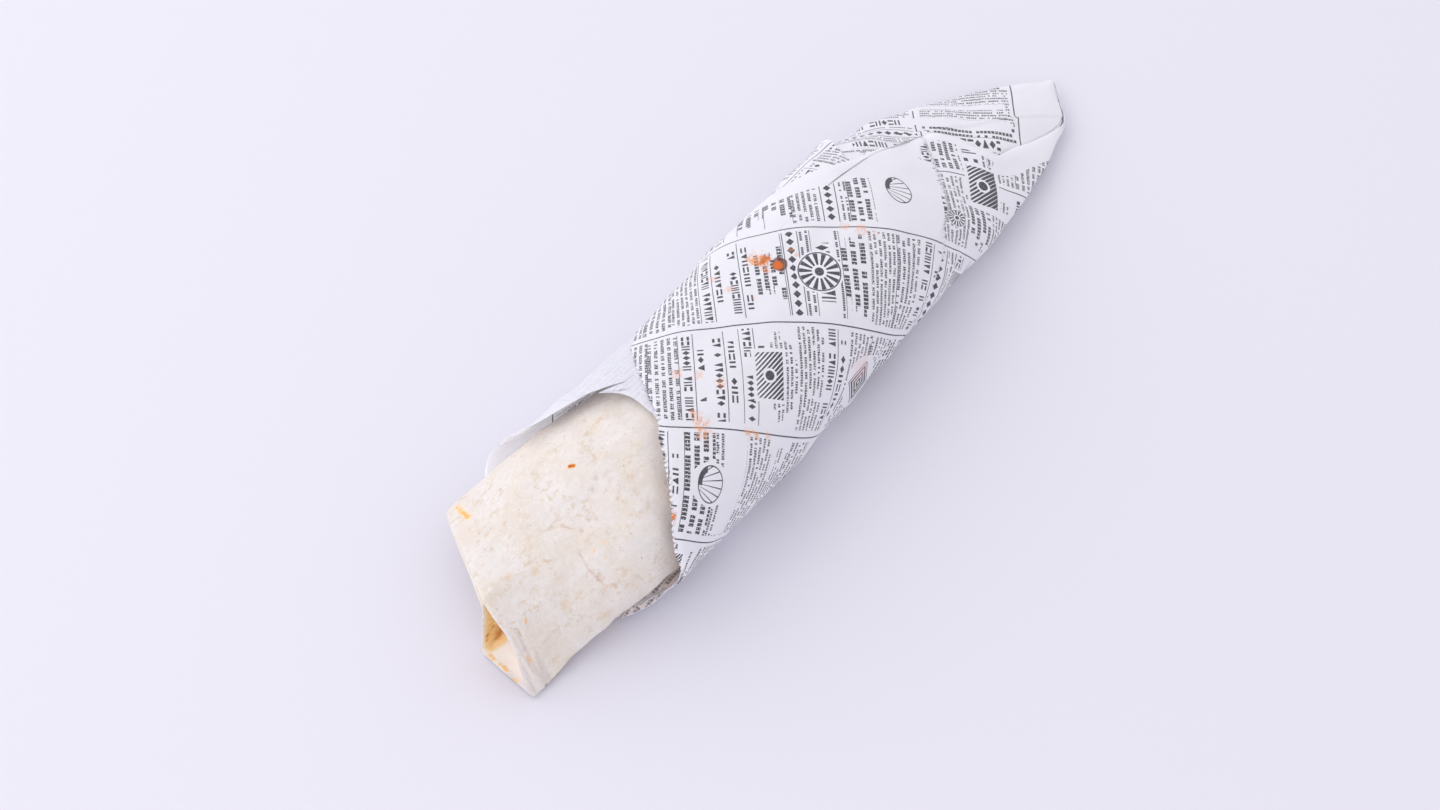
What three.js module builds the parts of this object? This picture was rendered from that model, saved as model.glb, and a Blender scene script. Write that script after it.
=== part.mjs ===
// A burrito: a filled flour tortilla, open and pinched at one end, in a wrap of greaseproof paper
// whose far end is folded flat into a tail. It lies on the flat underside of the paper.
//
// Two closed skins, in millimetres, +Z up. "along" is the distance from the tortilla's open tip,
// and becomes +X. +Y is the side to which the tail leans. A turn about the roll starts at +Y and
// goes over the top, so 90 degrees is the top, 180 the -Y side and 270 the underside.
import * as THREE from "three";

// Driving dimensions

const ORIGIN_ALONG = 137; // where the frame's origin lies along the roll
const ORIGIN_SIDE = 5.88; // and across it
const LENGTH = 274; // tortilla tip to paper tail
const TIP_RING = 0.4; // the last ring of the tail lies this far before its tip

const PAPER_WALL = 0.7; // the doubled sheet with the air between its layers
const FLAT_SHARE = 0.96; // sections are cut off below this share of their half height

const PINCH_END = 50; // where the pinched open end has become the full roll
const POCKET_END = { along: 46, side: -4, up: 16 }; // where the open mouth's layers meet inside
const FILLING_END = 168; // where the hidden end of the tortilla begins to round off
const TORTILLA_END = 186; // the hidden end itself
const HOLLOW_ROUND = 172; // where the hollow in the paper begins to round off
const HOLLOW_END = 199; // where the paper is pressed shut

const TURN_STEPS = 72;
const PINCH_RINGS = 9;
const ROLL_RINGS = 11;
const CAP_RINGS = 5;
const POCKET_RINGS = 6;
const WRAP_RINGS = 36;
const HOLLOW_RINGS = 12;

// The roll's section at stations along it: its middle, half width, underside and height, and the
// exponent of its superellipse (2 is an ellipse, less is sharper at the sides).
const TORTILLA_STATIONS = {
  along: [10, 30, 45, 60, 80, 98, 130, 155, 168, 186],
  side: [1.5, 1.5, 1.1, 0.4, -1.6, -0.8, 3.2, 5.8, 7, 8.6],
  halfWidth: [27, 26.9, 27, 26.7, 27.5, 27.9, 28.4, 28, 27.4, 27],
  floor: [1.1, 1.3, 1.35, 1.4, 1.3, 1.3, 1.3, 1.3, 1.3, 1.3],
  height: [26, 33, 36.8, 39.2, 40.2, 40.7, 40.7, 39, 36.5, 31],
  power: [2.3, 2.3, 2.3, 2.3, 2.3, 2.3, 2.3, 2.2, 2.15, 2.1],
};
const PAPER_STATIONS = {
  along: [30, 50, 65, 80, 98, 130, 155, 175, 190, 205, 220, 238, 252, 262, 268, 274],
  side: [2.6, -0.6, -1.9, -1.7, -0.8, 3.2, 5.8, 7.6, 9.7, 11.4, 12.5, 11.6, 11, 10.4, 11.7, 13.2],
  halfWidth: [37, 32.6, 30.6, 30.1, 29.9, 30.5, 29.8, 29.6, 29.9, 29.9, 27.6, 22.3, 16.6, 11, 5.8, 0.6],
  floor: [0, 0, 0, 0, 0, 0, 0, 0, 0, 0, 0.5, 1, 1.5, 2, 2.3, 2.6],
  height: [40, 42, 43, 43.5, 43.7, 43.7, 42, 38.5, 32, 23.5, 16, 10, 7, 4.6, 3.4, 2],
  power: [2.3, 2.3, 2.3, 2.3, 2.3, 2.3, 2.2, 2.1, 2, 1.85, 1.7, 1.6, 1.6, 1.6, 1.6, 1.6],
};

// The paper's mouth: how far along its edge lies at each turn. It is cut slanting, so that the
// underside reaches furthest towards the open end. On the left it runs nearly straight forwards
// from the crown, and then falls steeply to the underside.
const MOUTH = {
  turn: [
    0, 12, 36, 44, 47, 50, 54, 59, 65, 76, 90, 101, 115, 130,
    145, 160, 180, 197, 208, 217, 229, 250, 285, 312, 330, 346, 360,
  ],
  along: [
    43.4, 44.5, 45.2, 47, 52, 61.5, 68.8, 71.8, 72.5, 71.5, 70, 65, 59.5, 54,
    50, 47, 46.5, 48, 45, 41, 33, 30, 30, 33, 36.5, 40.5, 43.4,
  ],
};

// The outer sheet's free edge: the turn at which it lies, from the left side over the top and then
// down the fold that runs to the end of the tail. The sheet under it shows to the left of it. The
// skin's middle column follows it, from the crown of the roll, where it has no step yet.
const FREE_EDGE = {
  along: [90, 110, 130, 150, 160, 168, 176, 186, 201, 214, 222, 228, 232, 246, 262, 274],
  turn: [90, 72, 42, 20, 25, 47, 60, 66, 70, 70, 76, 96, 116, 132, 160, 165],
};
const FREE_EDGE_RISE = { along: [90, 148, 170, 225, 262, 274], step: [0, 0, 1, 1.4, 1, 0.2] };
const EDGE_CROWDING = 0.8; // draws the columns towards the free edge, so that its step is steep

// The corner of the under sheet that stands out from the left side where the roll ends.
const CORNER = { along: [181, 200, 206], reach: [0, 5.6, 0], turn: 352, spread: 13 };

// The tortilla's pinched rim, outside and inside. From the left fold the two layers lie pressed
// together as a lifted flap; then the top layer arches over a three-cornered mouth whose left
// wall stands upright, and comes down to a sharp fold on the floor.
const RIM_TURN = [0, 12, 55, 84, 96, 110, 124, 150, 184, 196, 230, 262, 274, 292, 302, 316, 345, 360];
const RIM_OUTSIDE = {
  along: [20.4, 18.4, 9.6, 3.6, 3.1, 2.8, 2.4, 1.2, 0, 0, 0.1, 0.2, 0.4, 2.6, 3.6, 7.4, 18.4, 20.4],
  side: [32.4, 28.6, 10.5, -1.5, -6.4, -11.2, -14.4, -17.8, -21.4, -21.1, -12, -2.6, -0.6, -0.4, 0.6, 7, 28.6, 32.4],
  up: [12.9, 15.9, 22.4, 25, 22.3, 18.6, 14.6, 8.8, 1.8, 0.8, 0.8, 0.8, 1.6, 16.4, 20, 18.9, 11.6, 12.9],
};
const RIM_INSIDE = {
  along: [20.2, 18.3, 9.6, 3.6, 3.1, 2.8, 2.4, 1.2, 0, 0, 0.1, 0.2, 0.4, 2.6, 3.6, 7.4, 18.3, 20.2],
  side: [29.2, 27.2, 9.7, -2.1, -6, -10.1, -12.9, -16, -18.6, -18.5, -11.6, -3.6, -2.4, -2.2, -1.2, 6.6, 27.2, 29.2],
  up: [13.6, 14.4, 20.5, 23, 20.5, 17.1, 13.5, 8.2, 3.1, 2.6, 2.6, 2.6, 3.4, 16.6, 21.6, 21.2, 13.8, 13.6],
};

// Curves

/** A smooth curve through the stations: a cubic on each stretch, with slopes averaged at each. */
function throughStations(stations, values) {
  const last = stations.length - 1;
  const gap = (i) => stations[i + 1] - stations[i];
  const rise = (i) => (values[i + 1] - values[i]) / gap(i);
  const slope = (i) => {
    if (i === 0) return rise(0);
    if (i === last) return rise(last - 1);
    return (gap(i) * rise(i - 1) + gap(i - 1) * rise(i)) / (gap(i) + gap(i - 1));
  };
  return (where) => {
    let i = 0;
    while (i < last - 1 && where > stations[i + 1]) i += 1;
    const t = THREE.MathUtils.clamp((where - stations[i]) / gap(i), 0, 1);
    return (
      (1 + 2 * t) * (1 - t) ** 2 * values[i] +
      t * (1 - t) ** 2 * gap(i) * slope(i) +
      t * t * (3 - 2 * t) * values[i + 1] +
      t * t * (t - 1) * gap(i) * slope(i + 1)
    );
  };
}

/** One straight stretch after another through the stations, for outlines with corners. */
function throughCorners(stations, values) {
  return (where) => {
    let i = 0;
    while (i < stations.length - 2 && where > stations[i + 1]) i += 1;
    const t = THREE.MathUtils.clamp((where - stations[i]) / (stations[i + 1] - stations[i]), 0, 1);
    return THREE.MathUtils.lerp(values[i], values[i + 1], t);
  };
}

const signedPower = (value, power) => Math.sign(value) * Math.abs(value) ** power;

/** A roll's section at a place and a turn: a superellipse, cut off flat underneath. */
function rollOf(stations) {
  const read = (name) => throughStations(stations.along, stations[name]);
  const side = read("side");
  const halfWidth = read("halfWidth");
  const floor = throughCorners(stations.along, stations.floor);
  const height = read("height");
  const power = read("power");
  return (along, turn, inset = 0, share = 1) => {
    const angle = THREE.MathUtils.degToRad(turn);
    const across = signedPower(Math.cos(angle), 2 / power(along));
    const upward = Math.max(signedPower(Math.sin(angle), 2 / power(along)), -FLAT_SHARE);
    const tall = height(along) - 2 * inset;
    const raised = (tall * (upward + FLAT_SHARE)) / (1 + FLAT_SHARE);
    const middle = tall / 2;
    return new THREE.Vector3(
      along,
      side(along) + (halfWidth(along) - inset) * across * share,
      floor(along) + inset + middle + (raised - middle) * share,
    );
  };
}

/** How much of its section a rounded end keeps at a place: all before it starts, none at the end. */
function roundedShare(along, start, end) {
  const t = THREE.MathUtils.clamp((along - start) / (end - start), 0, 1);
  return Math.sqrt(1 - t * t);
}

const tortillaRoll = rollOf(TORTILLA_STATIONS);
const paperRoll = rollOf(PAPER_STATIONS);
const mouthEdge = throughStations(MOUTH.turn, MOUTH.along);
const freeEdge = throughStations(FREE_EDGE.along, FREE_EDGE.turn);
const freeEdgeRise = throughStations(FREE_EDGE_RISE.along, FREE_EDGE_RISE.step);
const cornerReach = throughCorners(CORNER.along, CORNER.reach);
const turns = Array.from({ length: TURN_STEPS }, (_, i) => (360 * i) / TURN_STEPS);
const steps = (count) => Array.from({ length: count }, (_, i) => i / count);
const ease = (t) => t * t * (3 - 2 * t);

// Skins

/** A closed skin from rings of points, with a pole at each end of the list. */
function closedSkin(firstPole, rings, lastPole) {
  const points = [firstPole, ...rings.flat(), lastPole];
  const faces = [];
  const at = (ring, step) => 1 + ring * TURN_STEPS + (step % TURN_STEPS);
  for (let step = 0; step < TURN_STEPS; step += 1) {
    faces.push(0, at(0, step), at(0, step + 1));
    for (let ring = 0; ring < rings.length - 1; ring += 1) {
      faces.push(at(ring, step), at(ring + 1, step), at(ring + 1, step + 1));
      faces.push(at(ring, step), at(ring + 1, step + 1), at(ring, step + 1));
    }
    faces.push(points.length - 1, at(rings.length - 1, step + 1), at(rings.length - 1, step));
  }
  const geometry = new THREE.BufferGeometry();
  geometry.setAttribute(
    "position",
    new THREE.Float32BufferAttribute(points.flatMap((p) => [p.x, p.y, p.z]), 3),
  );
  geometry.setIndex(faces);
  geometry.computeVertexNormals();
  return geometry;
}

/** The pinched rim as a function of the turn. */
function rimOf(outline) {
  const along = throughCorners(RIM_TURN, outline.along);
  const side = throughCorners(RIM_TURN, outline.side);
  const up = throughCorners(RIM_TURN, outline.up);
  return (turn) => new THREE.Vector3(along(turn), side(turn), up(turn));
}

/** The tortilla: rounded hidden end, full roll, pinched end, then the pocket inside the mouth. */
function tortillaSkin() {
  const outside = rimOf(RIM_OUTSIDE);
  const inside = rimOf(RIM_INSIDE);
  const end = tortillaRoll(TORTILLA_END, 0, 0, 0);
  const cap = steps(CAP_RINGS).map((t) => {
    const swing = ((1 - t) * Math.PI) / 2;
    const fromStart = Math.sin(swing * (CAP_RINGS / (CAP_RINGS + 1)));
    const along = FILLING_END + (TORTILLA_END - FILLING_END) * fromStart;
    const share = roundedShare(along, FILLING_END, TORTILLA_END);
    return turns.map((turn) => tortillaRoll(along, turn, 0, share));
  });
  const roll = steps(ROLL_RINGS).map((t) => {
    const along = FILLING_END + (PINCH_END - FILLING_END) * t;
    return turns.map((turn) => tortillaRoll(along, turn));
  });
  const pinch = [...steps(PINCH_RINGS), 1].map((t) =>
    turns.map((turn) => {
      const rim = outside(turn);
      const along = THREE.MathUtils.lerp(PINCH_END, rim.x, t);
      const full = tortillaRoll(along, turn);
      const pinched = new THREE.Vector3(along, rim.y, rim.z);
      return full.lerp(pinched, ease(t));
    }),
  );
  const deepest = new THREE.Vector3(POCKET_END.along, POCKET_END.side, POCKET_END.up);
  const pocket = steps(POCKET_RINGS).map((t) =>
    turns.map((turn) => {
      const rim = inside(turn);
      rim.x = THREE.MathUtils.lerp(rim.x, deepest.x, t);
      rim.y = THREE.MathUtils.lerp(rim.y, deepest.y, t * t);
      rim.z = THREE.MathUtils.lerp(rim.z, deepest.z, t * t);
      return rim;
    }),
  );
  return closedSkin(end, [...cap, ...roll, ...pinch, ...pocket], deepest);
}

/** The paper's outer face: the roll, the step along the free edge, and the corner that stands out. */
function wrapPoint(along, turn) {
  const edge = freeEdge(along);
  const rise = freeEdgeRise(along);
  let slid = turn;
  let lifted = 0;
  if (turn <= 90) slid = (turn / 90) * edge;
  else if (turn < 180) {
    slid = edge + (180 - edge) * ((turn - 90) / 90) ** (1 + EDGE_CROWDING * Math.min(rise, 1));
    lifted = (180 - slid) / (180 - edge);
  }
  const point = paperRoll(along, slid, -rise * lifted);
  const away = THREE.MathUtils.euclideanModulo(slid - CORNER.turn + 180, 360) - 180;
  point.y += cornerReach(along) * Math.exp(-((away / CORNER.spread) ** 2));
  return point;
}

/** The paper: from the tip of the tail to the slanting mouth, then the hollow that holds the roll. */
function paperSkin() {
  const tip = paperRoll(LENGTH, 0, 0, 0);
  const wrap = [...steps(WRAP_RINGS), 1].map((t) =>
    turns.map((turn) => {
      const along = THREE.MathUtils.lerp(LENGTH - TIP_RING, mouthEdge(turn), t);
      return wrapPoint(along, turn);
    }),
  );
  const hollow = steps(HOLLOW_RINGS).map((t) =>
    turns.map((turn) => {
      const deep = Math.sin((t * Math.PI) / 2);
      const along = THREE.MathUtils.lerp(mouthEdge(turn), HOLLOW_END, deep);
      const share = roundedShare(along, HOLLOW_ROUND, HOLLOW_END);
      return paperRoll(along, turn, PAPER_WALL, share);
    }),
  );
  const shut = paperRoll(HOLLOW_END, 0, PAPER_WALL, 0);
  return closedSkin(tip, [...wrap, ...hollow], shut);
}

// The object

function namedMesh(name, geometry, look) {
  const mesh = new THREE.Mesh(geometry, new THREE.MeshStandardMaterial(look));
  mesh.name = name;
  return mesh;
}

const burrito = new THREE.Group();
burrito.add(
  namedMesh("tortilla", tortillaSkin(), { color: 0xf1e7da, roughness: 0.8, metalness: 0 }),
  namedMesh("paper", paperSkin(), { color: 0xeeecf4, roughness: 0.65, metalness: 0 }),
);
burrito.position.set(-ORIGIN_ALONG, -ORIGIN_SIDE, 0);

export default burrito;
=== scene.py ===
"""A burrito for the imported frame: a filled flour tortilla, pinched round a three-cornered mouth at
its open end, in two sheets of printed greaseproof paper whose far end is folded flat into a tail.

Shapes are worked out in millimetres in the maker's own measure: "along" runs from the open end
to the tail, "side" runs across and "up" is height. A "turn" goes round the roll in degrees: 0 is
the +side, 90 the top, 180 the other side and 270 the underside. mesh_from() puts a finished grid
in the frame, in metres. Left and right are as seen from the open end's side, along the roll.
"""

import bpy
import numpy as np
from mathutils import Matrix


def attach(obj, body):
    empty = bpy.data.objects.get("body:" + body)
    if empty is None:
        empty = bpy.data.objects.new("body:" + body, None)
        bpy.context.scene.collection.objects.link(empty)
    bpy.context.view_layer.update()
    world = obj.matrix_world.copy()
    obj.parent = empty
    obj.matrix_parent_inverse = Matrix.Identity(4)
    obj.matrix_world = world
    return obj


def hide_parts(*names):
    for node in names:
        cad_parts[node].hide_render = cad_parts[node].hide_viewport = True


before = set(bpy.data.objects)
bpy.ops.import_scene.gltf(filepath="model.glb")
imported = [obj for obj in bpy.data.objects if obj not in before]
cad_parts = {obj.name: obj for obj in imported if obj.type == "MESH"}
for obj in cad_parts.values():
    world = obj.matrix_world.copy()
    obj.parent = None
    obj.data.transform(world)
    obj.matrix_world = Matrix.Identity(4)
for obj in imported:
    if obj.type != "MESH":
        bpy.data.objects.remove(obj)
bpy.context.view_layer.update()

MM = 0.001
ORIGIN = np.array([137.0, 5.88, 0.0])  # where the frame's origin lies, in the maker's measure

# The roll and its wrap, as in the solids ---------------------------------------------------

FLAT_SHARE = 0.96  # sections are cut off flat below this share of their half height
PINCH_END = 50.0
LIP_RISE = 4.5  # of the pocket's floor behind the lip, where a layer of the roll lies on it
POCKET_END = np.array([46.0, -4.0, 16.0])
FILLING_END = 168.0
TORTILLA_END = 186.0
LENGTH = 274.0

TORTILLA = {
    "along": [10, 30, 45, 60, 80, 98, 130, 155, 168, 186],
    "side": [1.5, 1.5, 1.1, 0.4, -1.6, -0.8, 3.2, 5.8, 7, 8.6],
    "half_width": [27, 26.9, 27, 26.7, 27.5, 27.9, 28.4, 28, 27.4, 27],
    "floor": [1.1, 1.3, 1.35, 1.4, 1.3, 1.3, 1.3, 1.3, 1.3, 1.3],
    "height": [26, 33, 36.8, 39.2, 40.2, 40.7, 40.7, 39, 36.5, 31],
    "power": [2.3, 2.3, 2.3, 2.3, 2.3, 2.3, 2.3, 2.2, 2.15, 2.1],
}
PAPER = {
    "along": [30, 50, 65, 80, 98, 130, 155, 175, 190, 205, 220, 238, 252, 262, 268, 274],
    "side": [2.6, -0.6, -1.9, -1.7, -0.8, 3.2, 5.8, 7.6, 9.7, 11.4, 12.6, 12.1, 11.2, 10.4, 11.7, 13.2],
    "half_width": [
        37, 32.6, 30.6, 30.1, 29.9, 30.5, 29.8, 29.6, 29.9, 29.9, 27.5, 21.8, 16.4, 11, 5.8, 0.6,
    ],
    "floor": [0, 0, 0, 0, 0, 0, 0, 0, 0, 0, 0.5, 1, 1.5, 2, 2.3, 2.6],
    "height": [40, 42, 43, 43.5, 43.7, 43.7, 42, 38.5, 32, 23.5, 16, 10, 7, 4.6, 3.4, 2],
    "power": [2.3, 2.3, 2.3, 2.3, 2.3, 2.3, 2.2, 2.1, 2, 1.85, 1.7, 1.6, 1.6, 1.6, 1.6, 1.6],
}
# The edge of the lining's mouth, by column. From column 66 to 80 it is folded back under itself.
MOUTH = {
    "column": [
        0, 10, 24, 37, 43, 46, 47, 47.8, 48.5, 50, 52.5, 57, 59, 63, 66.5, 68.5, 69.3, 72, 75, 77.9,
        80, 90, 101, 115, 130, 145, 160, 180, 197, 208, 217, 229, 250, 285, 312, 330, 346, 360,
    ],
    "along": [
        43.4, 44.3, 44.8, 45.2, 46, 48, 51, 55, 59, 61.8, 65.1, 67.5, 68.8, 71, 73, 66.6, 67, 68.3,
        69.5, 70.3, 70.4, 70, 65, 59.5, 54, 50, 47, 46.5, 48, 45, 41, 33, 30, 30, 33, 36.5, 40.5, 43.4,
    ],
}
FOLD_BACK = {"column": [66.5, 68.5, 80.0], "shift": [0.0, -12.0, 0.0], "lift": [0.3, -0.5, -0.1]}
FOLD_REACH = 4.0  # the fold runs out so far behind the edge
LINING_END = 168.0  # the lining's other end, out of sight
# The tortilla's three-cornered rim, by turn: along, side and up of its outer and its inner edge.
RIM_TURN = [0, 12, 55, 84, 96, 110, 124, 150, 184, 196, 230, 262, 274, 292, 302, 316, 345, 360]
RIM_OUTSIDE = [
    [20.4, 18.4, 9.6, 3.6, 3.1, 2.8, 2.4, 1.2, -0.2, -0.1, 0.1, 0.2, 0.4, 2.6, 3.6, 7.4, 18.4, 20.4],
    [
        32.4, 28.6, 10.5, -1.5, -6.4, -11.2, -14.6, -18.4, -22.9, -22.2, -12, -2.9, -1.8, -1.7, -0.9,
        6.6, 28.6, 32.4,
    ],
    [12.9, 15.9, 22.4, 25, 22.3, 18.6, 14.6, 8.8, 1.4, 0.8, 0.8, 0.8, 1.4, 16.4, 20.6, 18.9, 11.6, 12.9],
]
RIM_INSIDE = [
    [20.2, 18.3, 9.6, 3.6, 3.1, 2.8, 2.4, 1.2, 0, 0, 0.1, 0.2, 0.4, 2.6, 3.6, 7.4, 18.3, 20.2],
    [
        29.2, 27.2, 9.7, -2.1, -6.4, -10.9, -13.9, -17.2, -20.4, -19.8, -11.6, -3.9, -2.6, -2.4, -1.5,
        6.4, 27.2, 29.2,
    ],
    [13.6, 14.4, 20.5, 23, 20.8, 17.5, 13.7, 8.3, 2.9, 2.4, 2.2, 2.2, 3.0, 16.6, 21.4, 21.0, 13.8, 13.6],
]

# The sheets. The outer sheet is a straight-cut corner laid askew round the roll: its pinked edge
# is its front, and its free edge runs up the left side and down to the end of the tail.
OUTER_FRONT = {
    "turn": [
        -40, -30, 0, 25, 46, 77, 90, 100.5, 114.5, 129, 144.5, 160, 180, 197, 208, 217, 229, 250, 285, 320,
    ],
    "along": [
        120, 115, 104, 95, 84, 75, 70.5, 65, 59.5, 54.5, 50, 47.2, 47.2, 49.5, 46.5, 42.5, 34.5, 31.5,
        31.5, 33,
    ],
}
FREE_EDGE = {
    "turn": [
        -40, -31, -12, 9, 22, 35.5, 46.5, 60, 65, 70, 70.6, 75, 83.5, 95, 107, 120.5, 122,
        123.5, 126, 137, 155, 165, 175,
    ],
    "along": [
        120.5, 127, 140, 150, 154.5, 159, 166, 175, 181.5, 200, 216, 221.2, 224.4, 225.6, 226.8, 229.2,
        231.6, 234.8, 238.4, 248.8, 259.6, 268, 273.6,
    ],
}
# The pinked end of the sheet under it, where that lies round the left side of the roll.
CORNER_EDGE = {
    "turn": [-60, -45, -20, 0, 17.5, 35.5, 48.5, 57.5, 64, 72, 80],
    "along": [194, 196, 199, 197, 193.5, 190, 186, 183.5, 182, 180, 179],
}
EDGE_RISE = {"along": [90, 148, 170, 225, 262, 274], "step": [0.15, 0.2, 1, 1.4, 1, 0.2]}
SHEET_WALL = 0.22  # one sheet of paper as it shows at an edge
OUTER_LIFT = 0.12  # of each sheet, from the paper's skin
LINING_LIFT = -0.42
TAIL_LIFT = 0.02
CORNER_LIFT = 0.26
FRONT_CURL = 0.7  # the outer sheet's front stands off so much more
LIP_FLARE = 1.6  # and the lining's lip on the lower right so much
LINING_TUCK = 2.4  # the lining's edge lies so far back where the outer sheet covers it
TAIL_TUCK = 0.4  # the hidden borders of the tail sheet and of the corner lie so much lower
CORNER_TUCK = 0.6
MM_PER_DEGREE = 0.55  # round the roll
PRINT_SHIFT = 73.0  # of the lining's print along the roll
MARGIN = 8.0  # blank border along the free edge
MARGIN_LESS = 4.6  # and it is so much narrower on the tail
TOOTH_PITCH = 1.6  # of the pinked edges
TOOTH_DEPTH = 1.0
TAIL_TIP_ROOM = 0.4  # the sheets end so far before the tip of the tail


# Curves ------------------------------------------------------------------------------------


def through_stations(stations, values):
    """A cubic on each stretch between stations, whose slope at a station is the average of the
    slopes of its two stretches, weighted by the other's length."""
    place = np.asarray(stations, float)
    value = np.asarray(values, float)
    gap = np.diff(place)
    rise = np.diff(value) / gap
    slope = np.concatenate([rise[:1], rise, rise[-1:]])[: len(place)]
    slope[1:-1] = (gap[1:] * rise[:-1] + gap[:-1] * rise[1:]) / (gap[1:] + gap[:-1])
    slope[-1] = rise[-1]

    def at(where):
        i = np.clip(np.searchsorted(place, where, side="left") - 1, 0, len(gap) - 1)
        t = np.clip((where - place[i]) / gap[i], 0, 1)
        return (
            (1 + 2 * t) * (1 - t) ** 2 * value[i]
            + t * (1 - t) ** 2 * gap[i] * slope[i]
            + t * t * (3 - 2 * t) * value[i + 1]
            + t * t * (t - 1) * gap[i] * slope[i + 1]
        )

    return at


def roll_of(stations):
    """A roll's skin: at a place along it the section is a superellipse, cut off flat underneath,
    side = middle + half_width * |cos|^(2/power), up = floor + height * |sin|^(2/power), rescaled
    so that the flat lies on the floor. An inset draws the skin inwards all round."""
    read = {
        name: through_stations(stations["along"], stations[name])
        for name in ("side", "half_width", "height", "power")
    }

    def at(along, turn, inset=0.0, share=1.0):
        angle = np.radians(turn)
        bend = 2 / read["power"](along)
        across = np.sign(np.cos(angle)) * np.abs(np.cos(angle)) ** bend
        upward = np.maximum(np.sign(np.sin(angle)) * np.abs(np.sin(angle)) ** bend, -FLAT_SHARE)
        tall = read["height"](along) - 2 * inset
        raised = tall * (upward + FLAT_SHARE) / (1 + FLAT_SHARE)
        floor = np.interp(along, stations["along"], stations["floor"])
        side = read["side"](along) + (read["half_width"](along) - inset) * across * share
        up = floor + inset + tall / 2 + (raised - tall / 2) * share
        return np.stack([np.broadcast_to(along, side.shape), side, up], -1)

    return at


def smooth(low, high, value):
    """0 below low, 1 above high, and the cubic 3t^2 - 2t^3 between them. High may be the lower."""
    t = np.clip((value - low) / (high - low), 0, 1)
    return t * t * (3 - 2 * t)


def bell(value, middle, width):
    return np.exp(-(((value - middle) / width) ** 2))


def mix(a, b, share):
    return a + (b - a) * share


def read_off(table, at, values="along", places="turn"):
    """A table's values at some places, straight between the places that it lists."""
    return np.interp(at, table[places], table[values])


def spaced(*runs):
    """Numbers in evenly spaced runs of (first, last, count). A run stops short of its last number,
    where the next one starts, apart from the last run."""
    parts = [np.linspace(*run, endpoint=False) for run in runs[:-1]]
    return np.concatenate([*parts, np.linspace(*runs[-1])])


def waves(place, seed, length, count=28):
    """A soft relief between about -1 and 1: a sum of sine waves in random directions, each from
    0.7 to 1.5 of the length long, over the square root of half their count."""
    rng = np.random.default_rng(seed)
    heading = rng.normal(size=(count, place.shape[-1]))
    heading /= np.linalg.norm(heading, axis=1, keepdims=True)
    size = 2 * np.pi / (length * rng.uniform(0.7, 1.5, count))
    phase = rng.uniform(0, 2 * np.pi, count)
    total = np.zeros(place.shape[:-1])
    for way, number, shift in zip(heading, size, phase):
        total += np.sin(place @ (way * number) + shift)
    return total / np.sqrt(count / 2)


def relief_of(place, layers):
    """The sum of soft reliefs, each given as (height, seed, length)."""
    return sum(height * waves(place, seed, length) for height, seed, length in layers)


def creases(place, seed, length, count=5):
    """Flat facets that meet at sharp creases: the sum of the absolute values of a few long waves,
    less its average."""
    rng = np.random.default_rng(seed)
    total = np.zeros(place.shape[:-1])
    for _ in range(count):
        angle = rng.uniform(0, np.pi)
        way = np.zeros(place.shape[-1])
        way[:2] = np.cos(angle), np.sin(angle)
        size = np.pi / (length * rng.uniform(0.7, 1.6))
        folded = np.abs(np.sin(place @ (way * size) + rng.uniform(0, np.pi)))
        total += np.arcsin(folded) / (np.pi / 2) - 0.5
    return total / np.sqrt(count)


def from_path(place, path):
    """(distance to a bent line in the plane, the side it lies on as +1 or -1, the share of the
    line's length at its nearest point). The nearest of the line's stretches counts."""
    path = np.asarray(path, float)
    piece = np.diff(path, axis=0)
    length = np.linalg.norm(piece, axis=1)
    before = np.concatenate([[0], np.cumsum(length)])
    nearest = np.full(place.shape[:-1], 1e9)
    side = np.zeros_like(nearest)
    share = np.zeros_like(nearest)
    for start, way, long, done in zip(path[:-1], piece, length, before):
        away = place - start
        t = np.clip((away @ way) / long**2, 0, 1)
        off = away - t[..., None] * way
        distance = np.linalg.norm(off, axis=-1)
        closer = distance < nearest
        nearest = np.where(closer, distance, nearest)
        side = np.where(closer, np.sign(way[0] * away[..., 1] - way[1] * away[..., 0]), side)
        share = np.where(closer, (done + t * long) / before[-1], share)
    return nearest, side, share


# Grids into meshes -------------------------------------------------------------------------


def outward(points, ring):
    """Unit normals of a grid of points, rows by columns: the cross product of the steps along the
    rows and along the columns. Ring says that the columns close on themselves."""
    along_rows = np.gradient(points, axis=0)
    if ring:
        along_columns = np.roll(points, -1, 1) - np.roll(points, 1, 1)
    else:
        along_columns = np.gradient(points, axis=1)
    normal = np.cross(along_rows, along_columns)
    return normal / np.maximum(np.linalg.norm(normal, axis=-1, keepdims=True), 1e-9)


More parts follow.
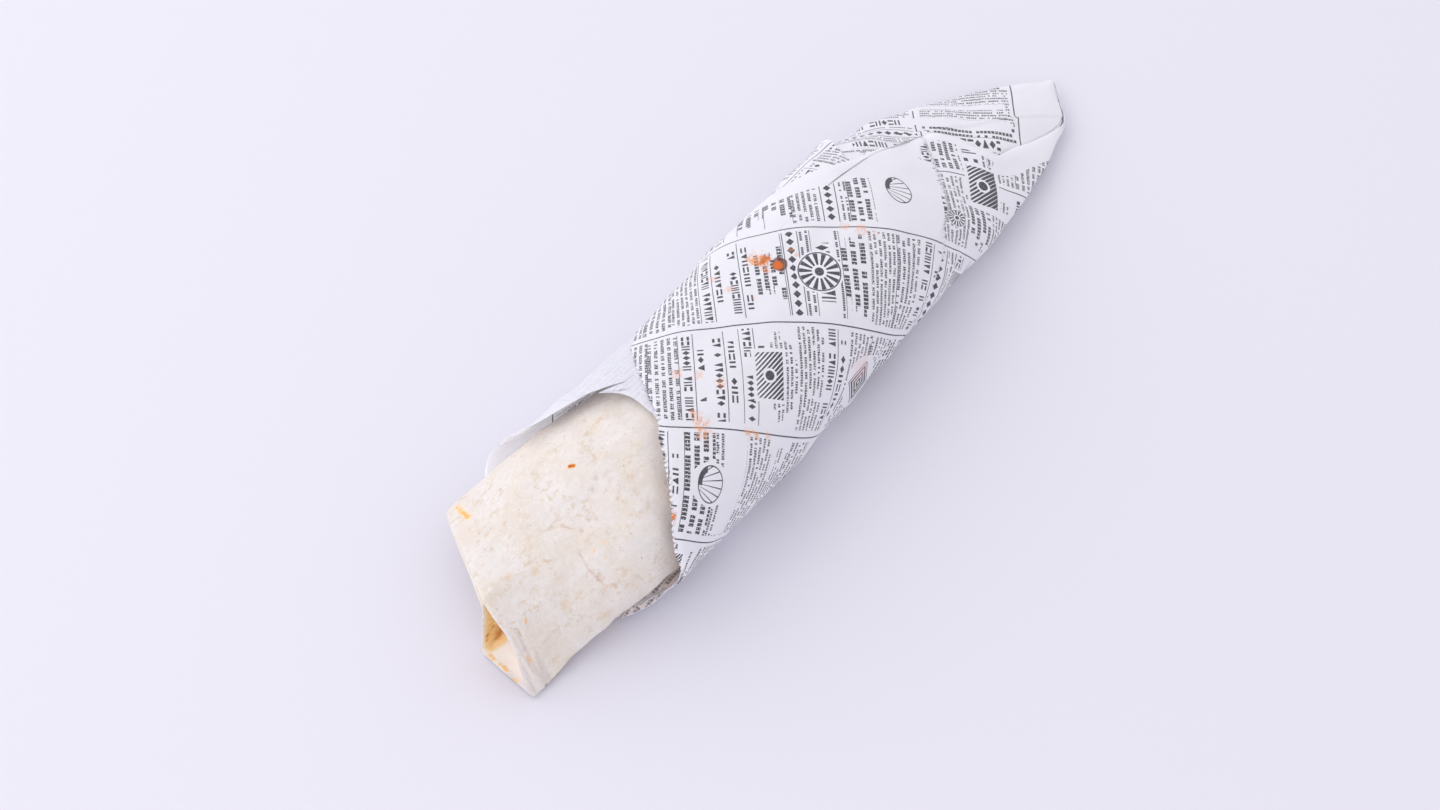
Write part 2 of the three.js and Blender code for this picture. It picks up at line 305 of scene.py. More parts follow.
def mesh_from(name, points, places, ring=False, poles=(), flipped=False):
    """A piece from a grid of points, rows by columns, in the maker's millimetres. Places is a
    second grid, of three values a point, kept as the attribute "place". Each square of the grid
    is one face, turned towards the cross product of its steps along rows and columns, or away
    from it if flipped. Poles are the two points that close the first and the last row of a ring."""
    rows, columns = points.shape[:2]
    number = np.arange(rows * columns).reshape(rows, columns)
    if ring:
        number = np.concatenate([number, number[:, :1]], axis=1)
    squares = [number[:-1, :-1], number[1:, :-1], number[1:, 1:], number[:-1, 1:]]
    faces = np.stack(squares[::-1] if flipped else squares, -1).reshape(-1, 4)
    corners = faces.ravel()
    starts = np.arange(len(faces)) * 4
    spots = points.reshape(-1, 3)
    if len(poles):
        first, last = np.full(columns, len(spots)), np.full(columns, len(spots) + 1)
        spots = np.concatenate([spots, np.asarray(poles, float)])
        near = np.stack([first, number[0, :-1], number[0, 1:]], -1)
        far = np.stack([last, number[-1, 1:], number[-1, :-1]], -1)
        starts = np.concatenate([starts, len(corners) + np.arange(2 * columns) * 3])
        corners = np.concatenate([corners, near.ravel(), far.ravel()])
    mesh = bpy.data.meshes.new(name)
    mesh.vertices.add(len(spots))
    mesh.vertices.foreach_set("co", ((spots - ORIGIN) * MM).ravel())
    mesh.loops.add(len(corners))
    mesh.loops.foreach_set("vertex_index", corners)
    mesh.polygons.add(len(starts))
    mesh.polygons.foreach_set("loop_start", starts)
    mesh.polygons.foreach_set("use_smooth", np.ones(len(starts), bool))
    kept = mesh.attributes.new("place", "FLOAT_VECTOR", "POINT")
    values = np.zeros((len(spots), 3))
    values[: rows * columns] = places.reshape(-1, 3)
    kept.data.foreach_set("vector", values.ravel())
    mesh.update(calc_edges=True)
    mesh.validate()
    piece = bpy.data.objects.new(name, mesh)
    bpy.context.collection.objects.link(piece)
    return piece


def wall(piece):
    """Gives a sheet its thickness, half to each side, with the inner face in the second finish."""
    solid = piece.modifiers.new("wall", "SOLIDIFY")
    solid.thickness = SHEET_WALL * MM
    solid.offset = 0.0
    solid.use_even_offset = False
    solid.material_offset = 1


tortilla_roll = roll_of(TORTILLA)
paper_roll = roll_of(PAPER)


# The tortilla ------------------------------------------------------------------------------

# Soft reliefs of the dough, each as (height, seed, length) of its waves.
LUMPS = [(0.42, 11, 26.0), (0.16, 12, 11.0)]
WRINKLES = [(0.05, 13, 4.2), (0.028, 14, 2.0)]
HOOD_PLEATS = [(0.17, 16, 1.7)]
POCKET_WAVES = [(0.12, 15, 7.0)]
# Creases on the skin seen from above, as (along, side): a blister's edge, and a fold at the hood.
BLISTER_EDGE = [
    (32.6, -3.3), (33.9, -7.6), (35.1, -8.8), (32.9, -8.7), (31.7, -10.5),
    (30.5, -11.8), (29.8, -15.9), (30.6, -21.1), (32.6, -23.5),
]
BLISTER_MIDDLE = (35.0, -16.5)
BLISTER_REACH = (6.2, 8.5)
BLISTER_RISE = 0.4
BLISTER_CREASE = (0.2, 0.5)  # depth and width
HOOD_CREASE = (0.3, 0.9)
MIDDLE_UP = 20.0  # height of the roll's middle
TOP_HOLLOW = 1.8
# How far the roll bulges out of its section on the left and on the right.
BULGE = {
    "along": [22, 30, 34, 38, 42, 46, 50, 60, 70, 90],
    "left": [0.0, 0.7, 0.2, -0.5, -1.3, -2.0, -2.1, -2.3, -2.4, -0.8],
    "right": [0.0, 0.4, 1.5, 2.4, 2.9, 3.2, 3.6, 3.3, 2.0, 0.2],
}
FRONT_SHADE = (1.7, 4.3)  # width of the shade beside the paper's front, on top and low down
RIM_ROUND = 0.55  # how far the rim's edge stands out between its two lines
LOWEST = 0.5  # the dough lies this far above the floor
HOOD_FOLD = [(2.4, -8.0), (4.6, -10.2), (5.6, -12.4), (5.0, -16.0), (3.2, -19.5)]


def tortilla_relief(points):
    """How far the skin stands out, in mm: lumps of filling, fine wrinkles along the roll, a
    blister that is round like a bell with a crease round its left, a dented hood with folds
    along its edge, bulges to the left and the right, and a hollow on top beside the paper. It
    fades to nothing at the rim, and on the flat that it lies on."""
    along, side, up = points[..., 0], points[..., 1], points[..., 2]
    lumps = relief_of(points, LUMPS)
    wrinkles = relief_of(points * np.array([0.35, 1.0, 1.0]), WRINKLES)
    plan = points[..., :2]
    distance, _, share = from_path(plan, BLISTER_EDGE)
    top = smooth(10, 16, up)
    ends = smooth(0, 0.2, share) * smooth(1, 0.85, share)
    from_middle = np.hypot(
        (along - BLISTER_MIDDLE[0]) / BLISTER_REACH[0], (side - BLISTER_MIDDLE[1]) / BLISTER_REACH[1]
    )
    depth, width = BLISTER_CREASE
    blister = BLISTER_RISE * bell(from_middle, 0, 1) - depth * bell(distance, 0, width) * ends
    fold_distance, _, fold_share = from_path(plan, HOOD_FOLD)
    depth, width = HOOD_CREASE
    fold = -depth * bell(fold_distance, 0, width) * smooth(1, 0.5, fold_share) * smooth(3, 7, up)
    gathered = relief_of(points * np.array([1.0, 0.12, 0.1]), HOOD_PLEATS)
    gathered = gathered * smooth(-7, -10, side) * smooth(9, 5, along) * smooth(22, 18, up)
    climb = np.degrees(np.arctan2(up - MIDDLE_UP, np.abs(side)))  # 0 at a side, 90 on top
    left = read_off(BULGE, along, "left", "along") * bell(climb, 28, 30) * smooth(-4, 4, side)
    right = read_off(BULGE, along, "right", "along") * bell(climb, -14, 28) * smooth(4, -4, side)
    hollow = -TOP_HOLLOW * bell(along, 66, 9) * bell(side, 13, 8) * smooth(25, 32, up)
    resting = smooth(0.8, 4.0, up)
    bulge = left + right * resting + hollow
    full = (lumps + wrinkles) * smooth(1.0, 12.0, along) * resting
    return full + blister * top + fold + gathered + bulge


def rim_of(outline, turn):
    return np.stack([np.interp(turn, RIM_TURN, values) for values in outline], -1)


def tortilla_piece():
    """The skin as one ring of points after another, closed by a pole at each end. The hidden end
    is rounded like an ellipse from 168 to 186 mm; the roll follows the section; the pinch mixes
    the section with the rim by 3t^2 - 2t^3, and is averaged round itself beside the rim's upper
    corner; the edge is turned over by a small round; and the pocket goes from the inner rim to
    its deepest point, in step along and by t^2 across, with a raised floor behind the lip. Its
    places say how far inside the pocket and how far in the paper's shade a point is."""
    turn = np.arange(360.0)[None, :]
    columns = turn.size
    quarter = np.linspace(0.02, 1, 10)[:, None] * np.pi / 2
    cap_along = FILLING_END + (TORTILLA_END - FILLING_END) * np.cos(quarter)
    cap_along = np.broadcast_to(cap_along, (len(quarter), columns))
    share = np.sqrt(1 - ((cap_along - FILLING_END) / (TORTILLA_END - FILLING_END)) ** 2)
    cap = tortilla_roll(cap_along, turn, 0.0, share)
    hidden = np.linspace(FILLING_END - 6, 84, 14)
    bare = np.linspace(82, PINCH_END, 42)
    roll_along = np.concatenate([hidden, bare])[:, None]
    roll = tortilla_roll(np.broadcast_to(roll_along, (len(roll_along), columns)), turn)
    outside = rim_of(RIM_OUTSIDE, turn[0])
    inside = rim_of(RIM_INSIDE, turn[0])
    t = np.linspace(0, 1, 106)[1:, None]
    pinch_along = mix(PINCH_END, outside[None, :, 0], t)
    full = tortilla_roll(pinch_along, turn)
    shut = np.broadcast_to(outside, full.shape).copy()
    shut[..., 0] = pinch_along
    pinch = mix(full, shut, smooth(0, 1, t)[..., None])
    level = np.mean([np.roll(pinch, step, axis=1) for step in range(-12, 13)], axis=0)
    near_corner = smooth(56, 70, turn) * smooth(112, 98, turn) * smooth(1.0, 0.72, t)
    pinch = mix(pinch, level, near_corner[..., None])
    swing = np.array([0.15, 0.32, 0.5, 0.68, 0.85])[:, None, None]
    edge = mix(outside[None], inside[None], swing)
    edge[..., 0] -= RIM_ROUND * np.sin(swing[..., 0] * np.pi)
    t = np.linspace(0, 0.97, 34)[:, None, None]
    pocket = np.broadcast_to(inside[None], (len(t), columns, 3)).copy()
    pocket[..., :1] = mix(inside[None, :, :1], POCKET_END[0], t)
    pocket[..., 1:] = mix(inside[None, :, 1:], POCKET_END[1:], t * t)
    on_floor = smooth(192, 216, turn) * smooth(272, 258, turn)
    pocket[..., 2] += LIP_RISE * on_floor * smooth(0.0, 0.2, t[..., 0]) * smooth(1.0, 0.5, t[..., 0])
    points = np.concatenate([cap, roll, pinch, edge, pocket])
    skin_rows = len(cap) + len(roll) + len(pinch)
    normal = outward(points, ring=True)
    relief = tortilla_relief(points)
    relief[skin_rows:] = relief_of(points[skin_rows:], POCKET_WAVES)
    fade = np.linspace(0, 1, 6)
    relief[skin_rows : skin_rows + 6] *= fade[:, None]
    points = points + normal * relief[..., None]
    points[..., 2] = np.maximum(points[..., 2], LOWEST)
    places = np.zeros_like(points)
    places[skin_rows + 5 :, :, 0] = smooth(-0.01, 0.03, t[:, 0])
    to_paper = points[:skin_rows, :, 0] - read_off(OUTER_FRONT, turn[0])
    shade_width = mix(*FRONT_SHADE, smooth(135, 172, turn))
    places[:skin_rows, :, 1] = smooth(-1, 1, to_paper / shade_width) * smooth(84, 92, turn)
    end = tortilla_roll(np.array([TORTILLA_END]), np.array([0.0]), 0.0, 0.0)[0]
    return mesh_from("tortilla_skin", points, places, ring=True, poles=(end, POCKET_END))


# The paper ---------------------------------------------------------------------------------


def arc_of(along, turn):
    """How far a place lies round the paper from the top of the roll, in mm, at its own section:
    the sum of short chords of one degree, read off a table."""
    step = 3.0
    stations = np.arange(28.0, LENGTH + 0.6, step)
    turns = np.arange(-100.0, 480.0, 1.0)
    skin = paper_roll(*np.meshgrid(stations, turns, indexing="ij"))
    chord = np.linalg.norm(np.diff(skin, axis=1), axis=-1)
    table = np.concatenate([np.zeros((len(stations), 1)), np.cumsum(chord, 1)], 1)
    table -= table[:, turns == 90.0]
    i = np.clip((along - stations[0]) / step, 0, len(stations) - 1.001)
    j = np.clip(turn - turns[0], 0, len(turns) - 1.001)
    i0, j0 = i.astype(int), j.astype(int)
    near = mix(table[i0, j0], table[i0, j0 + 1], j - j0)
    far = mix(table[i0 + 1, j0], table[i0 + 1, j0 + 1], j - j0)
    return mix(near, far, i - i0)


def laid_flat(along, turn):
    """(down, across) on the sheet laid flat, in mm: down is away from the pinked edge, along the
    long column rules, and across runs along the rows of print. The sheet lies at 45 degrees."""
    arc = arc_of(along, turn)
    return (along + arc) / np.sqrt(2), (arc - along) / np.sqrt(2)


def flat_points(down, across):
    return np.stack([down, across], -1)


# Reliefs of the paper, each as (height, seed, length).
SLACK = [(0.2, 21, 24.0), (0.07, 22, 10.0)]
GATHERS = [(0.22, 24, 4.6)]  # beside the fold at the end of the roll
FACETS = (0.75, 23, 17.0)  # of the tail
FOLD_DENT = 0.7  # just beyond the fold at the end of the roll
FOLD_RIDGE = 0.25  # just in front of it
FOLD_SWELL = 0.3  # a little way beyond it
# How the lining's left side is pushed in and out at its mouth, as (rise, turn, width).
SLUMP = [(2.3, -16, 17), (-2.7, 25, 14), (-1.3, 4, 9)]
SHOULDER = 0.8  # how full it is behind the mouth
CORNER_ROOT = 152.0  # where the tucked corner comes out from under the free edge
CORNER_STAND = 2.7  # how far it stands out at its edge

# Where the sheet folds over the end of the roll, and a crease of the sheet under it, as
# (down, across). Beyond each the print lies further up by its jump.
BODY_END = [
    (146.2, -158.0), (147.0, -150.7), (147.7, -145.1), (148.4, -123.1), (145.3, -113.5),
    (145.8, -106.7), (143.6, -96.0), (141.0, -80.0),
]
BODY_JUMP = 4.0
UNDER_CREASE = [
    (199.0, -180.4), (193.4, -178.6), (187.0, -177.2), (179.3, -175.0),
    (167.4, -170.6), (158.7, -167.3), (149.7, -164.2),
]
UNDER_JUMP = 1.2
UNDER_STEP = 0.5
UNDER_PRINT_END = 178.8  # the tail sheet's print stops this far down
UNDER_PRINT_SHIFT = 5.8
CORNER_PRINT_SHIFT = 14.0


def paper_relief(along, turn):
    """How far the paper stands out, in mm. Slack waves are shared by all the sheets, facets grow
    towards the tail, and a fold with gathers beside it goes askew round the end of the roll."""
    down, across = laid_flat(along, turn)
    flat = flat_points(down, across)
    slack = relief_of(flat, SLACK)
    tail = smooth(176, 214, along)
    height, seed, length = FACETS
    facets = height * creases(flat, seed, length) * tail
    distance, which, share = from_path(flat, BODY_END)
    fading = smooth(1.0, 0.7, share)
    dent = -FOLD_DENT * np.exp(-distance / 2.0) * (which < 0)
    ridge = FOLD_RIDGE * np.exp(-distance / 3.0) * (which >= 0)
    fold = (dent + ridge) * fading
    beyond = FOLD_SWELL * bell(distance, 4.5, 3.5) * (which < 0)
    gather = relief_of(flat, GATHERS) * bell(down, 152, 8) * bell(across, -106, 13)
    under = smooth(200, 245, turn) * smooth(345, 300, turn)
    return (slack + facets) * (1 - 0.9 * under) + fold + beyond + gather


def teeth(run, depth=TOOTH_DEPTH):
    """A pinked edge: a zigzag between 0 and the depth, once each pitch along the edge."""
    return depth * np.abs(2 * ((run / TOOTH_PITCH) % 1.0) - 1)


def edge_run(along, turn):
    """The distance run along an edge given by its places, from its first point."""
    spots = paper_roll(along, turn)
    step = np.linalg.norm(np.diff(spots, axis=0), axis=-1)
    return np.concatenate([[0], np.cumsum(step)])


def free_edge_turn(along):
    """The turn at which the outer sheet's free edge lies, at a place along the roll."""
    return read_off(FREE_EDGE, along, "turn", "along")


def lay(along, turn, lift):
    """Points of a sheet: the paper's skin at each place, lifted by so many mm, with the relief
    along the normal and nothing lower than the floor."""
    points = paper_roll(along, turn, -lift)
    normal = outward(points, ring=False)
    normal *= np.sign(np.median(np.sum(normal * (points - points.mean((0, 1))), -1)))
    points = points + normal * paper_relief(along, turn)[..., None]
    points[..., 2] = np.maximum(points[..., 2], SHEET_WALL / 2)
    return points


def outer_sheet():
    """The sheet that carries the print. Its columns are turns, from its corner on the left side
    over the top and right round to the left again; each runs from the pinked front, which curls
    up, to the free edge, which stands off the most, or to the tip of the tail. The margin is the
    distance to the free edge on the sheet laid flat."""
    turn = spaced(
        (-40, 30, 24),
        (30, 56, 36),
        (56, 68, 44),
        (68, 90, 24),
        (90, 205, 230),
        (205, 235, 28),
        (235, 311, 20),
    )
    front = read_off(OUTER_FRONT, turn)
    back = read_off(FREE_EDGE, turn)
    back = np.where(turn > 175, LENGTH - TAIL_TIP_ROOM, back)
    run = edge_run(front, turn)
    share = np.concatenate([[0, 0.003, 0.007, 0.014, 0.024], np.linspace(0.036, 1, 104)])[:, None]
    along = mix(front, back, share)
    bite = teeth(run)[None, :] * bell(along, front, 1.0) / np.sqrt(2)
    along = along + bite
    turns = np.broadcast_to(turn, along.shape) + bite / MM_PER_DEGREE
    edge = free_edge_turn(along)
    lifted = np.clip((180 - turns) / (180 - np.minimum(edge, 175)), 0, 1)
    rise = read_off(EDGE_RISE, along, "step", "along")
    curl = FRONT_CURL * smooth(5.0, 0.0, along - front) * smooth(80, 95, turn) * smooth(200, 185, turn)
    lift = OUTER_LIFT + rise * lifted + curl
    points = lay(along, turns, lift)
    down, across = laid_flat(along, turns)
    flat = flat_points(down, across)
    keep = turn < 176
    edge = flat_points(*laid_flat(back[keep], turn[keep]))[::6]
    margin, _, _ = from_path(flat, edge)
    margin = margin + MARGIN_LESS * smooth(204, 209, along) * smooth(127, 121, turns)
    distance, which, _ = from_path(flat, BODY_END)
    down = down + BODY_JUMP * smooth(0.0, 0.4, np.where(which < 0, distance, 0.0))
    return mesh_from("outer_sheet", points, np.stack([down, across, margin], -1), flipped=True)


def slump(along, turns):
    """How far the lining's left side stands out from the skin, in mm: the mouth has sunk there, in
    at the shoulder and out below it, and it is full a little way behind."""
    mouth = smooth(62, 47, along)
    low = np.where(turns > 180, turns - 360, turns)
    sunk = sum(rise * bell(low, turn, width) for rise, turn, width in SLUMP)
    return sunk * mouth + SHOULDER * bell(low, 28, 17) * bell(along, 76, 10)


def lining_sheet():
    """The sheet inside, which makes the mouth. It is a ring of columns, from the slanting mouth
    back under the outer sheet. A column's turn is its number, but on the left of the top the
    columns are shifted back and forth again, which folds the sheet twice there; the fold runs
    out behind the mouth by 3t^2 - 2t^3. The lip on the lower right flares out."""
    column = spaced(
        (0, 40, 27),
        (40, 60, 60),
        (60, 81, 105),
        (81, 180, 66),
        (180, 262, 136),
        (262, 360, 51),
    )
    column = column[:-1]  # 360 is 0 again
    tucked = LINING_TUCK * smooth(88, 100, column) * smooth(192, 176, column)
    front = read_off(MOUTH, column, "along", "column") + tucked
    share = np.concatenate([[0, 0.006, 0.013, 0.022, 0.033], np.linspace(0.048, 1, 60)])[:, None]
    along = mix(front, LINING_END, share)
    pinked = smooth(184, 192, column) * smooth(262, 254, column)
    bite = teeth(edge_run(front, column)) * pinked * bell(along, front, 1.1)
    along = along + bite
    behind = along - front
    folded = smooth(FOLD_REACH, 0, behind)
    turns = column + folded * read_off(FOLD_BACK, column, "shift", "column")
    beside = smooth(50, 62, column) * smooth(84, 80, column)
    step = read_off(FOLD_BACK, column, "lift", "column") * folded * beside
    lip = LIP_FLARE * smooth(203, 222, turns) * smooth(250, 226, turns) * smooth(9, 0, behind)
    points = lay(along, turns, LINING_LIFT + step + lip + slump(along, turns))
    number = np.broadcast_to(column, along.shape)
    places = np.stack([arc_of(along, turns), along - PRINT_SHIFT, number], -1)
    return mesh_from("lining_sheet", points, places, ring=True, flipped=True)


def tail_sheet():
    """The printed sheet under the free edge, which shows on the left and makes the upper flap of
    the tail. Its rows are places along; each runs from under the roll up to the free edge and a
    little under it. Its print lies a quarter turn round, and stops at the blank margin."""
    along = spaced((112, 158, 18), (158, LENGTH - 0.5, 130))
    high = free_edge_turn(along) + 9
    share = np.linspace(0, 1, 96)[None, :]
    turns = mix(-64.0, high[:, None], share)
    along = np.broadcast_to(along[:, None], turns.shape)
    under = smooth(-42, -54, turns) + smooth(high[:, None] - 10, high[:, None] - 7, turns)
    down, across = laid_flat(along, turns)
    distance, which, share = from_path(flat_points(down, across), UNDER_CREASE)
    beyond = smooth(0.0, 0.5, np.where(which > 0, distance, 0.0))
    step = UNDER_STEP * beyond * np.exp(-distance / 3.0) * smooth(1.0, 0.8, share)
    points = lay(along, turns, TAIL_LIFT + step - TAIL_TUCK * under)
    down = down + UNDER_JUMP * beyond
    margin = MARGIN + (UNDER_PRINT_END - down)
    places = np.stack([across, UNDER_PRINT_SHIFT - down, margin], -1)
    return mesh_from("tail_sheet", points, places, flipped=True)


def tail_corner():
    """The corner of the sheet that stands out from the left side where the roll ends. Its rows
    run from under the free edge to the pinked edge, and its columns are turns. It leaves the
    skin towards its edge by 3t^2 - 2t^3, most of all at one turn, like a bell."""
    turn = np.linspace(-58, 79, 132)
    edge = read_off(CORNER_EDGE, turn)
    root = np.minimum(read_off(FREE_EDGE, turn) - 4, CORNER_ROOT)
    share = np.concatenate([np.linspace(0, 0.93, 50), np.linspace(0.94, 1, 14)])[:, None]
    along = mix(root, edge, share)
    along = along - teeth(edge_run(edge, turn), depth=0.8) * bell(along, edge, 1.1)
    turns = np.broadcast_to(turn, along.shape)
    stand = CORNER_STAND * smooth(CORNER_ROOT, 190, along) * bell(turns, 6, 38)
    under = smooth(-38, -52, turns)
    points = lay(along, turns, CORNER_LIFT + stand - CORNER_TUCK * under)
    margin = MARGIN + 0.1 + edge - along  # more than the blank border, so the print goes to the edge
    places = np.stack([along, arc_of(along, turns) + CORNER_PRINT_SHIFT, margin], -1)
    return mesh_from("tail_corner", points, places, flipped=True)


# Finishes ----------------------------------------------------------------------------------


def sum_by(operation, turned=False):
    """A method that adds a Math node. Turned, the other value comes first."""

    def apply(self, other):
        pair = (other, self) if turned else (self, other)
        return self.finish.math(operation, *pair)

    return apply


class Wire:
    """A socket of a finish. Sums on it add their Math nodes."""

    def __init__(self, finish, socket):
        self.finish = finish
        self.socket = socket

    __add__ = __radd__ = sum_by("ADD")
    __mul__ = __rmul__ = sum_by("MULTIPLY")
    __sub__ = sum_by("SUBTRACT")
    __rsub__ = sum_by("SUBTRACT", turned=True)
    __truediv__ = sum_by("DIVIDE")
    __lt__ = sum_by("LESS_THAN")
    __gt__ = sum_by("GREATER_THAN")

    def __abs__(self):
        return self.finish.math("ABSOLUTE", self)


class Finish:
    """A material made node by node, on a Principled shader."""

    def __init__(self, name, **fixed):
        self.material = bpy.data.materials.new(name)
        self.material.use_nodes = True
        self.tree = self.material.node_tree
        self.tree.nodes.clear()
        output = self.tree.nodes.new("ShaderNodeOutputMaterial")
        self.shader = self.tree.nodes.new("ShaderNodeBsdfPrincipled")
        self.tree.links.new(self.shader.outputs[0], output.inputs["Surface"])
        for socket, value in fixed.items():
            self.shader.inputs[socket.replace("_", " ")].default_value = value

    def put(self, socket, value):
        if isinstance(value, Wire):
            self.tree.links.new(value.socket, socket)
        else:
            socket.default_value = value

    def node(self, kind, settings=None, values=None, out=0):
        made = self.tree.nodes.new(kind)
        for name, value in (settings or {}).items():
            setattr(made, name, value)
        for name, value in (values or {}).items():
            self.put(made.inputs[name], value)
        return Wire(self, made.outputs[out])

    def feed(self, **sockets):
        for name, value in sockets.items():
            self.put(self.shader.inputs[name.replace("_", " ")], value)

    def math(self, operation, *values):
        return self.node("ShaderNodeMath", {"operation": operation}, dict(enumerate(values)))

    def vector_math(self, operation, values, out=0):
        return self.node("ShaderNodeVectorMath", {"operation": operation}, values, out)

    def object_mm(self):
        place = self.node("ShaderNodeTexCoord", out="Object")
        return self.vector_math("SCALE", {0: place, "Scale": 1 / MM})

    def attribute(self, name):
        return self.node("ShaderNodeAttribute", {"attribute_name": name}, out="Vector")

    def parts(self, vector):
        split = self.node("ShaderNodeSeparateXYZ", None, {0: vector})
        outputs = split.socket.node.outputs
        return [Wire(self, outputs[i]) for i in range(3)]

    def joined(self, x, y, z=0.0):
        return self.node("ShaderNodeCombineXYZ", None, {0: x, 1: y, 2: z})

    def noise(self, place, size, detail=2.0, rough=0.5, stretch=None):
        if stretch is not None:
            place = self.vector_math("MULTIPLY", {0: place, 1: stretch})
        values = {"Vector": place, "Scale": 1.0 / size, "Detail": detail, "Roughness": rough}
        return self.node("ShaderNodeTexNoise", {"noise_dimensions": "3D"}, values)

    def chance(self, x, y):
        values = {"Vector": self.joined(x, y)}
        return self.node("ShaderNodeTexWhiteNoise", {"noise_dimensions": "2D"}, values)

    def between(self, value, low, high):
        """0 at low, 1 at high, smooth between them."""
        values = {"Value": value, "From Min": low, "From Max": high}
        return self.node("ShaderNodeMapRange", {"interpolation_type": "SMOOTHSTEP"}, values)

    def blend(self, share, first, second):
        made = self.tree.nodes.new("ShaderNodeMix")
        made.data_type = "RGBA"
        for socket, value in ((0, share), (6, first), (7, second)):  # its factor and its colours
            self.put(made.inputs[socket], value)
        return Wire(self, made.outputs[2])

    def layered(self, base, *layers):
        """Colours laid over a base one after another, each as (mask, colour)."""
        for mask, colour in layers:
            base = self.blend(mask, base, colour)
        return base

    def bump(self, height, distance, strength):
        values = {"Height": height, "Distance": distance * MM, "Strength": strength}
        return self.node("ShaderNodeBump", None, values)

    def distance(self, place, centre):
        return self.vector_math("DISTANCE", {0: place, 1: centre}, "Value")

    def from_stretch(self, place, start, end):
        """The distance to a straight stretch: to start + t * way, with t the place's own share of
        the way, held between 0 and 1."""
        start, end = np.array(start), np.array(end)
        way = end - start
        away = self.vector_math("SUBTRACT", {0: place, 1: start.tolist()})
        unit = (way / (way @ way)).tolist()
        share = self.vector_math("DOT_PRODUCT", {0: away, 1: unit}, "Value")
        held = self.node("ShaderNodeClamp", None, {"Value": share})
        foot = self.vector_math("SCALE", {0: way.tolist(), "Scale": held})
        return self.distance(away, foot)

    def from_line(self, place, path):
        """The distance to a bent line: the least of the distances to its stretches."""
        nearest = self.from_stretch(place, path[0], path[1])
        for start, end in zip(path[1:-1], path[2:]):
            nearest = self.math("MINIMUM", nearest, self.from_stretch(place, start, end))
        return nearest


def shown(red, green, blue):
    """A colour as seen on a screen, 0 to 255, as the linear values that a shader takes."""
    seen = np.array([red, green, blue]) / 255
    linear = np.where(seen <= 0.04045, seen / 12.92, ((seen + 0.055) / 1.055) ** 2.4)
    return (*linear.tolist(), 1.0)


def spot(finish, place, centre, size, ragged, soft):
    """A mark on a surface: 1 within the size of its centre, with an edge torn by noise."""
    away = finish.distance(place, centre) / size + ragged
    return finish.between(away, 1.0, 1.0 - soft)


# Marks on the tortilla, as (along, side, up, size) in the maker's millimetres.
ORANGE_SPOTS = [
    (8.9, -11.9, 18.0, 1.0), (9.3, -11.4, 18.4, 0.8), (3.8, -17.5, 9.4, 1.3), (4.2, -16.8, 10.2, 1.1),
    (2.9, -18.7, 7.2, 1.0),
]
BLISTER_SPOTS = [
    (33.7, -14.4, 28.0, 1.2), (34.8, -17.4, 27.0, 1.3), (33.5, -18.5, 25.1, 0.9), (36.6, -15.1, 29.7, 1.1),
    (34.2, -15.8, 27.6, 0.9), (35.9, -18.6, 26.4, 0.8),
]
TOAST_MARKS = [
    (24.6, 1.7, 28.2, 2.2), (22.6, -0.6, 27.0, 1.8), (12.8, -1.8, 24.8, 2.4), (19.6, -5.4, 24.6, 2.0),
    (20.1, -16.0, 17.6, 2.6), (57.8, 9.5, 39.6, 2.4), (13.5, -22.0, 9.0, 2.2), (27.0, -24.0, 13.0, 2.8),
]
GREY_MARKS = [(43.4, -4.1, 36.8, 1.6), (46.5, -3.0, 37.6, 1.3), (49.5, -16.7, 35.4, 1.4)]
LIP_MARKS = [
    (0.2, -5.4, 2.4, 1.1), (0.0, -6.5, 2.3, 0.9), (0.1, -9.2, 2.6, 1.0), (0.1, -10.4, 2.6, 1.0),
    (0.1, -11.6, 2.6, 1.1), (-0.4, -15.8, 2.0, 1.1),
]
BURNT_MARKS = [(2.4, -2.3, 7.4, 1.2), (2.0, -2.3, 5.2, 0.8), (5.2, -2.1, 8.8, 1.0)]
# Lines on it, as paths of (along, side, up) or, for those on top, (along, side).
YELLOW_SMEAR = [(22.7, 29.6, 15.2), (22.1, 27.0, 16.8), (21.5, 23.4, 18.3)]
ORANGE_FLECK = [(44.5, 5.2, 37.4), (45.3, 4.3, 37.7)]
RED_DOT = (38.1, 5.8, 34.4)
WALL_FOOT = 3.9  # the foot of the wall that is painted with a backlit glow lies so far to the right of the middle at the mouth, and so far further to the right for each mm into the pocket
WALL_LEAN = 0.5  # and so far further to the right for each mm into the pocket
# a tan line of painted shade along the hood's fold, as (along, side, up)
HOOD_FOLD_SHADE = [(4.3, -10.7, 19.0), (5.8, -12.1, 17.6), (5.6, -13.4, 16.2)]
# brown lines of painted shade along creases in the dough, as (along, side)
CREASE_SHADE_LINES = [
    [(40.8, -4.7), (38.7, -5.5), (39.6, -8.5), (39.1, -10.4)],
    [(30.5, -1.5), (32.1, -3.1)],
    [(27.0, 1.4), (29.6, -1.2), (30.6, -0.9)],
]


def in_frame(along, side, up=0.0):
    return tuple((np.array([along, side, up]) - ORIGIN).tolist())


def with_marks(finish, base, place, marks, colour, strength, ragged, soft):
    """Torn round marks over a base, at (along, side, up, size)."""
    for along, side, up, size in marks:
        mark = spot(finish, place, in_frame(along, side, up), size, ragged, soft)
        base = finish.blend(mark * strength, base, colour)
    return base


